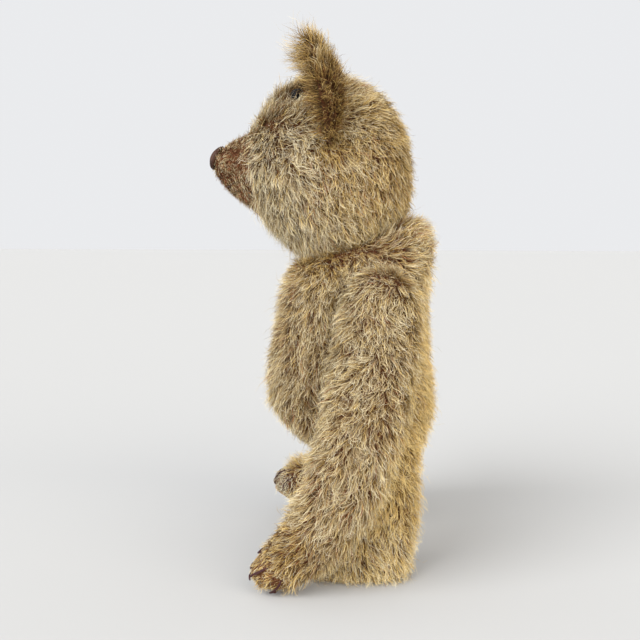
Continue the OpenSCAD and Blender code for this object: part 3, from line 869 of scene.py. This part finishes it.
def grow(name, body, skin, seed, per_mm2, style):
    """Covers a skin with pile: short dark strands under long pale ones, and a few that stand out. The dark
    ones are painted shade among the strands, and the pale ones are partly painted highlight.
    style(points, normals) gives, for each strand, flow (the way it lies), length, rise (how steeply it
    stands), cover (its chance to be there), pull (how far it leans to its tuft), width, shade and tints."""
    rng = np.random.default_rng(seed)
    points, normals = scatter(skin, per_mm2, rng)
    look = style(points, normals)
    keep = rng.random(len(points)) < look["cover"]
    points, normals = points[keep], normals[keep]
    look = {k: ({t: w[keep] for t, w in v.items()} if k == "tints" else v[keep]) for k, v in look.items()}
    count = len(points)
    over = rng.random(count) < OVER_SHARE
    layer = {k: np.where(over, OVER[k], UNDER[k]) for k in OVER}
    stray = rng.random(count) < STRAY_SHARE
    flow = unit(look["flow"]) + rng.normal(0, 1, (count, 3)) * (layer["stray"] + 0.6 * stray)[:, None]
    length = look["length"] * layer["length"] * rng.uniform(0.75, 1.2, count) * (1 + 0.25 * stray)
    path = strand_paths(points, normals, flow, length, look["rise"] * (1 + 0.4 * stray), rng)
    tufts = max(8, count // STRANDS_IN_TUFT)
    guides = nearest_guides(points, np.sort(rng.choice(count, tufts, replace=False)))
    clumped(path, guides, look["pull"] * ~stray, rng)
    path[:, 2:] += rng.normal(0, 0.25 * MM, (count, 2, 3))
    lock = rng.normal(0, 1, count)[guides]
    shade = look["shade"] + layer["shade"] + rng.normal(0, 0.2, count) + 0.17 * lock - 0.5 * stray
    tone = tone_of(pick_tints(look["tints"], rng), shade)
    width = look["width"] * layer["width"] * rng.uniform(0.7, 1.3, count)
    centre = points.mean(axis=0)
    order = np.argsort(np.arctan2(points[:, 0] - centre[0], points[:, 1] - centre[1]), kind="stable")
    parts = max(1, math.ceil(count / STRAND_LIMIT))
    for i, chosen in enumerate(np.array_split(order, parts)):
        piece = f"{name}_pile" if parts == 1 else f"{name}_pile_{i + 1}"
        made = strand_mesh(piece, path[chosen], normals[chosen], width[chosen], tone[chosen], rng)
        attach(made, body)


LONG = 10.5 * MM  # a strand's usual length
STRAND = 0.3 * MM  # and its usual width


def plain_style(points, flow, seed):
    """The pile's usual look. The styles below change it."""
    count = len(points)
    patch = field(points, 16 * MM, seed)
    return {
        "flow": flow + 0.85 * field3(points, 9 * MM, seed + 5),
        "length": LONG * (1 + 0.1 * field(points, 9 * MM, seed + 9)),
        "rise": 0.95 + 0.22 * field(points, 7 * MM, seed + 12),
        "cover": np.clip(0.9 + 0.16 * patch, 0, 1),
        "pull": np.clip(0.48 + 0.25 * field(points, 12 * MM, seed + 14), 0, 1),
        "width": np.full(count, STRAND),
        "shade": 0.37 + 0.12 * patch,
        "tints": {"ash": np.full(count, 0.12), "gold": np.full(count, 0.12), "rust": np.full(count, 0.03)},
    }


SEAT_RADIUS = 21 * MM


def off_seats(points, normals, body, look):
    """No pile where a joint's two flat faces meet, and short pile round it."""
    for joint in frame["joints"]:
        if body not in (joint["parent"], joint["child"]):
            continue
        along, out = from_joint(points, joint)
        facing = np.abs(normals @ np.array(joint["axis"]))
        flat = (np.abs(along) < 3 * MM) & (facing > 0.6)
        look["cover"] = np.where(flat & (out < SEAT_RADIUS), 0, look["cover"])
        short = 1 - smooth_step(out, SEAT_RADIUS, 30 * MM)
        look["length"] = np.where(flat, look["length"] * (1 - 0.7 * short), look["length"])
    return look


def off_claws(points, limb, look):
    """The pile is cut short round the claws."""
    away = distance_to(points, tree_of(NODES[paw_of(limb, "claws")]), 12 * MM)
    near = 1 - smooth_step(away, 2 * MM, 8 * MM)
    look["cover"] = np.where(away < 0.6 * MM, 0, np.maximum(look["cover"], near))
    look["length"] = look["length"] * (1 - 0.42 * near)
    look["rise"] = look["rise"] * (1 - 0.7 * near)
    look["width"] = look["width"] * (1 + 0.1 * near)
    look["shade"] = look["shade"] + 0.2 * near
    return look


def mean_path(points, start, end, bins=14):
    """The direction that a limb's middle line runs in beside each point, from start towards end."""
    axis = unit(end - start)
    t = (points - start) @ axis
    edges = np.linspace(np.percentile(t, 4), np.percentile(t, 96), bins + 1)
    centres = np.array([points[(t >= a) & (t <= b)].mean(axis=0) for a, b in zip(edges[:-1], edges[1:])])
    ways = unit(np.gradient(centres, axis=0))
    places = (edges[:-1] + edges[1:]) / 2
    return np.stack([np.interp(t, places, ways[:, k]) for k in range(3)], axis=1)


def torso_style(points, normals):
    """Downwards, swept up over the hump, golden on the back and short under the belly. The back is also
    lighter, with painted light as from the warm fill.
    """
    down = np.tile([0.0, 0.12, -1.0], (len(points), 1))
    look = plain_style(points, down, 100)
    y, z = points[:, 1], points[:, 2]
    hump = smooth_step(z, 0.190, 0.212) * smooth_step(y, 0.022, 0.05)
    look["flow"] += hump[:, None] * np.array([0, 1.2, 1.5])
    # The back: its gold is its own colour, and its lighter shade is painted light as from the warm fill.
    back = smooth_step(y, 0.045, 0.07)
    neck = np.exp(-((y - 0.005) / 0.025) ** 2 - ((z - 0.204) / 0.012) ** 2)
    belly = smooth_step(-normals[:, 2], 0.1, 0.6) * (1 - back)
    look["length"] *= 1 - 0.35 * belly
    look["rise"] *= 1 - 0.25 * belly
    gold = 0.12 + 0.75 * back * (1 - 0.7 * smooth_step(z, 0.14, 0.2)) + 0.6 * neck
    look["tints"]["gold"] = np.clip(gold, 0, 0.9)
    look["tints"]["rust"] = np.clip(0.03 + 0.12 * field(points, 14 * MM, 131) + 0.1 * hump, 0, 0.25)
    # Darker at the neck's crease under the head and towards the top of the chest: painted shade. The neck's
    # gold is its own colour.
    look["shade"] += 0.7 * back - 0.2 * neck - 0.12 * smooth_step(z, 0.12, 0.17) * (1 - back)
    return off_seats(points, normals, "torso", look)


NOSE = np.array([0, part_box("nose_stitching")[0].y, middle("nose_stitching")[2]])
SNOUT_END = -0.043  # the shaved snout stops at this Y, and a little further back below
EYES = [middle("eye_left"), middle("eye_right")]
EAR_ENDS = [min(points_of(NODES[f"ear_{side}_back"].data), key=lambda p: p[2]) for side in EARS]
# The snout's rusty spots on its left side, each with its radius. The right side has the same.
RUST_SPOTS = [
    ((0.021, -0.052, 0.271), 0.009),
    ((0.009, -0.066, 0.256), 0.007),
    ((0.014, -0.052, 0.246), 0.004),
]


def on_snout(points):
    """1 on the shaved snout, 0 on the rest of the head."""
    back = points[:, 1] + 0.12 * (points[:, 2] - 0.27)
    return 1 - smooth_step(back, SNOUT_END - 1.5 * MM, SNOUT_END + 1.5 * MM)


def head_style(points, normals):
    """Away from the nose, then down the cheeks and the nape, and short round the eyes."""
    away = unit(points - NOSE)
    y, z = points[:, 1], points[:, 2]
    low = 1 - smooth_step(z, 0.268, 0.305)
    top = smooth_step(z, 0.285, 0.315)
    nape = smooth_step(y, 0.02, 0.05)
    flow = away + low[:, None] * [0, 0.0, -1.3] + top[:, None] * [0, 0.2, 0.5]
    flow += nape[:, None] * [0, -0.3, -1.2]
    look = plain_style(points, flow, 200)
    look["length"] *= 1.12
    look["rise"] *= 0.82
    eye = nearest(points, EYES)
    look["cover"] = np.where((on_snout(points) > 0.5) | (eye < 5.8 * MM), 0, look["cover"])
    near_eye = 1 - smooth_step(eye, 6 * MM, 13 * MM)
    cheek = (1 - smooth_step(y, -0.015, 0.02)) * low
    # The fold below each ear's root: golden, shorter fibre, darkened further with painted shade for the
    # crease.
    fold = 1 - smooth_step(nearest(points, EAR_ENDS), 6 * MM, 13 * MM)
    look["pull"] = np.clip(look["pull"] + 0.2 * cheek, 0, 0.8)
    look["tints"]["gold"] = 0.1 + 0.4 * smooth_step(y, 0.0, 0.05)
    look["tints"]["ash"] = 0.2 - 0.15 * smooth_step(y, -0.02, 0.04) + 0.2 * cheek
    look["length"] *= 1 + 0.1 * cheek - 0.18 * nape
    look["tints"]["rust"] = np.clip(0.02 + 0.12 * field(points, 12 * MM, 231), 0, 0.15)
    look["tints"]["gold"] = look["tints"]["gold"] * (1 - fold) + 0.75 * fold
    # Dark bark strands round the eye, and fewer over the brow: painted shade of the hollow that the eye sits
    # in. On the brow they are partly browner fibre.
    brow = 1 - smooth_step(eye, 12 * MM, 30 * MM)
    look["tints"]["bark"] = np.clip(0.06 + 0.14 * brow + 0.6 * near_eye + 0.1 * fold, 0, 0.9)
    for tint in ("gold", "ash"):
        look["tints"][tint] = look["tints"][tint] * (1 - look["tints"]["bark"])
    # Darker round the eye, over the brow and at the fold below each ear: painted shade in the eye's hollow
    # and in the crease at the ear's root. Lighter on the cheeks and darker on the nape.
    look["shade"] += 0.42 * cheek - 0.15 * nape - 0.2 * near_eye - 0.35 * fold - 0.1 * brow
    look["length"] *= (1 - 0.35 * fold) * (1 - 0.55 * near_eye)
    look["rise"] *= 1 - 0.6 * near_eye
    return off_seats(points, normals, "head", look)


def snout_style(points, normals):
    """Shaved pile with rusty spots, from the nose backwards."""
    flow = unit(points - NOSE) + 0.9 * field3(points, 5 * MM, 270)
    look = plain_style(points, flow, 250)
    count = len(points)
    worn = field(points, 6 * MM, 240)
    nose = distance_to(points, tree_of(NODES["nose_stitching"]), 0.02)
    root = smooth_step(points[:, 1], SNOUT_END - 16 * MM, SNOUT_END)
    look["length"] = (4.2 + 0.6 * worn + 1.5 * root) * MM
    look["rise"] = np.full(count, 0.7)
    look["width"] = np.full(count, 0.3 * MM)
    look["pull"] = np.full(count, 0.25)
    look["cover"] = np.where((on_snout(points) > 0.5) & (nose > 0.7 * MM), 0.85 + 0.15 * worn, 0)
    spots = np.zeros(count)
    for place, radius in RUST_SPOTS:
        away = nearest(points, [np.array(place) * [side, 1, 1] for side in (1, -1)])
        spots = np.maximum(spots, 1 - smooth_step(away, 0.5 * radius, 1.3 * radius))
    rust = 0.26 + 0.2 * worn + 0.4 * spots
    look["tints"] = {"bark": np.full(count, 0.2), "rust": np.clip(rust, 0, 0.8)}
    look["shade"] = 0.36 + 0.15 * worn - 0.15 * spots
    return look


def arm_style(limb):
    """Along the arm to the paw, shorter on its inner side, none on the pad."""
    shoulder = np.array(JOINTS[limb]["pos_m"])
    paw = middle(paw_of(limb, "claws"))
    pad = tree_of(NODES[paw_of(limb, "pad")])
    rest = [tree_of(NODES[f"{limb}_{panel}"]) for panel in ("outer", "inner")]

    def style(points, normals):
        flow = mean_path(points, shoulder, paw)
        look = plain_style(points, flow, 300)
        reach = np.linalg.norm(points - paw, axis=1)
        tip = 1 - smooth_step(reach, 22 * MM, 52 * MM)
        look["length"] = look["length"] * (1 - 0.25 * tip)
        look["rise"] = look["rise"] * (1 - 0.1 * tip)
        inner = smooth_step(-normals[:, 0] * np.sign(shoulder[0]), 0.5, 0.8)
        look["length"] *= 1 - 0.45 * inner
        look["rise"] *= 1 - 0.4 * inner
        on_pad = distance_to(points, pad) < np.minimum(*[distance_to(points, t) for t in rest]) - 0.1 * MM
        look["cover"] = np.where(on_pad, 0, look["cover"])
        look["tints"]["ash"] = 0.12 + 0.1 * tip
        # The side facing backwards gets more gold and a lighter shade: painted warm light from the fill. The
        # paw's extra gold and darker shade are its own colour.
        back = smooth_step(normals[:, 1], 0.3, 0.9)
        look["tints"]["gold"] = 0.12 + 0.3 * np.maximum(back, tip)
        look["tints"]["bark"] = 0.2 * tip
        look["shade"] = look["shade"] - 0.12 * tip + 0.1 * back
        look["tints"]["rust"] = np.clip(0.03 + 0.1 * field(points, 14 * MM, 331), 0, 0.2)
        return off_claws(points, limb, off_seats(points, normals, limb, look))

    return style


def leg_style(limb):
    """Down the leg and a little backwards, with a fringe round the sole and paler toes."""
    hip = np.array(JOINTS[limb]["pos_m"])
    sole = middle(paw_of(limb, "sole"))
    outside = np.sign(hip[0])

    def style(points, normals):
        down = unit(sole - hip)
        back = np.cross(down, [1.0, 0, 0])
        back = back * np.sign(back[1])
        flow = np.tile(down + 0.5 * back, (len(points), 1))
        look = plain_style(points, flow, 400)
        inner = smooth_step(-normals[:, 0] * outside, 0.5, 0.8)
        covered = smooth_step(normals[:, 0] * outside, 0.6, 0.9)
        covered *= 1 - smooth_step(points[:, 1], 0.015, 0.04)
        high = smooth_step(points[:, 2], 0.02, 0.06)
        look["tints"]["gold"] = 0.45 + 0.45 * high
        # Lighter all over: painted light as from the warm fill, on top of the legs' golden tint.
        look["shade"] += 0.88
        height = -((points - sole) * down).sum(1)
        fringe = 1 - smooth_step(height, 6 * MM, 22 * MM)
        toe = fringe * smooth_step(-((points - sole) * back).sum(1), 15 * MM, 28 * MM)
        flatten = np.maximum(inner, 0.6 * covered) * (1 - toe)
        look["length"] *= 1 - 0.5 * flatten
        look["rise"] *= 1 - 0.45 * flatten
        look["rise"] *= 1 + 0.4 * fringe * (1 - toe)
        look["length"] *= 1 + 0.25 * fringe - 0.35 * toe
        look["cover"] = np.maximum(look["cover"], toe)
        look["width"] *= 1 + 0.1 * toe
        look["tints"]["ash"] = 0.12 + 0.7 * toe
        look["tints"]["gold"] = look["tints"]["gold"] * (1 - toe)
        look = off_claws(points, limb, off_seats(points, normals, limb, look))
        look["cover"] = np.where((normals * down).sum(1) > 0.87, 0, look["cover"])
        return look

    return style


def ear_style(side):
    """From the ear's root outwards: long on the front, palest at the rim."""
    low, high = (np.array(c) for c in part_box(f"ear_{side}_back"))
    sign = 1 if side == "left" else -1
    inner_x = low[0] if side == "left" else high[0]
    root = np.array([inner_x + sign * 6 * MM, (low[1] + high[1]) / 2, low[2] + 0.2 * (high[2] - low[2])])

    def style(points, normals):
        flow = unit(points - root)
        look = plain_style(points, flow, 500)
        reach = np.linalg.norm(points - root, axis=1)
        rim = smooth_step(reach, 34 * MM, 48 * MM)
        low = 1 - smooth_step(reach, 12 * MM, 30 * MM)
        look["flow"] = look["flow"] + 0.3 * field3(points, 5 * MM, 505)
        front = smooth_step(-normals[:, 1], -0.1, 0.6) * (1 - low)
        look["length"] = look["length"] * (1.05 + 0.1 * rim - 0.35 * low + 0.65 * front)
        look["rise"] = look["rise"] * (0.95 + 0.1 * (1 - rim) + 0.7 * front)
        look["pull"] = np.clip(look["pull"] + 0.15, 0, 0.8)
        look["tints"]["gold"] = 0.4 + 0.1 * low
        look["tints"]["rust"] = 0.08 * (1 - rim)
        look["tints"]["ash"] = np.zeros(len(points))
        look["tints"]["bark"] = 0.25 + 0.25 * (1 - rim)
        # Darker over the whole ear, and most towards its root and cup: partly darker brown fibre, partly
        # painted shade.
        look["shade"] -= 0.18 + 0.45 * (1 - rim)
        return look

    return style


DENSITY = 1.7  # strands to a square millimetre
grow("torso", "torso", SKINS["torso"], 1, DENSITY, torso_style)
grow("head", "head", SKINS["head"], 2, DENSITY * 1.1, head_style)
grow("snout", "head", SKINS["head"], 3, 3.0, snout_style)
for number, limb in enumerate(LIMBS):
    style = arm_style(limb) if limb.endswith("arm") else leg_style(limb)
    grow(limb, limb, SKINS[limb], 10 + number, DENSITY, style)
for number, (side, skin) in enumerate(EARS.items()):
    grow(f"ear_{side}", "head", skin, 20 + number, DENSITY * 1.3, ear_style(side))

# ---------------------------------------------------------------- CAD nodes that stay

for entry in frame["record"]["subparts"]:
    node = NODES[entry["node"]]
    if not node.hide_render:
        node.data.materials.clear()
        node.data.materials.append(MATERIALS[entry["material_slot"]])

# ---------------------------------------------------------------- floor, light and camera

LOOK_FROM = Vector((0.6186, 0.0653, 0.2310))
TURN = math.radians(6)
TILT = math.radians(6.41)
LENS = 50.9


def floor():
    """A wide plain sheet at the height of the soles."""
    size = 6.0
    corners = [(-size, -size, 0), (size, -size, 0), (size, size, 0), (-size, size, 0)]
    made = object_from("floor", corners, [(0, 1, 2, 3)], floor_material())


def soft_light(name, come_from, power, spread, colour):
    """A wide, even light from a direction, with soft shadows."""
    data = bpy.data.lights.new(name, "SUN")
    data.energy = power
    data.angle = math.radians(spread)
    data.color = colour
    made = bpy.data.objects.new(name, data)
    made.rotation_euler = (-Vector(come_from)).to_track_quat("-Z", "Y").to_euler()
    bpy.context.scene.collection.objects.link(made)


def studio():
    """A cool key light from the front left, a warm fill from behind on the same side, and a pale surround."""
    soft_light("key", (1.0, -0.9, 0.95), 3.0, 45, (0.97, 0.98, 1.0))
    soft_light("fill", (1.2, 1.0, 0.45), 2.5, 70, (1.0, 0.93, 0.82))
    world = bpy.data.worlds.new("studio")
    world.use_nodes = True
    world.node_tree.nodes["Background"].inputs["Color"].default_value = (0.97, 0.98, 1.0, 1)
    world.node_tree.nodes["Background"].inputs["Strength"].default_value = 0.85
    bpy.context.scene.world = world
    bpy.context.scene.view_settings.view_transform = "Standard"


def camera():
    """The photograph's view: from the bear's left, tilted a little down."""
    data = bpy.data.cameras.new("camera")
    data.lens = LENS
    data.sensor_width = 36
    made = bpy.data.objects.new("camera", data)
    made.location = LOOK_FROM
    forward = Vector((-math.cos(TILT) * math.cos(TURN), -math.cos(TILT) * math.sin(TURN), -math.sin(TILT)))
    made.rotation_euler = forward.to_track_quat("-Z", "Y").to_euler()
    bpy.context.scene.collection.objects.link(made)
    bpy.context.scene.camera = made


floor()
studio()
camera()
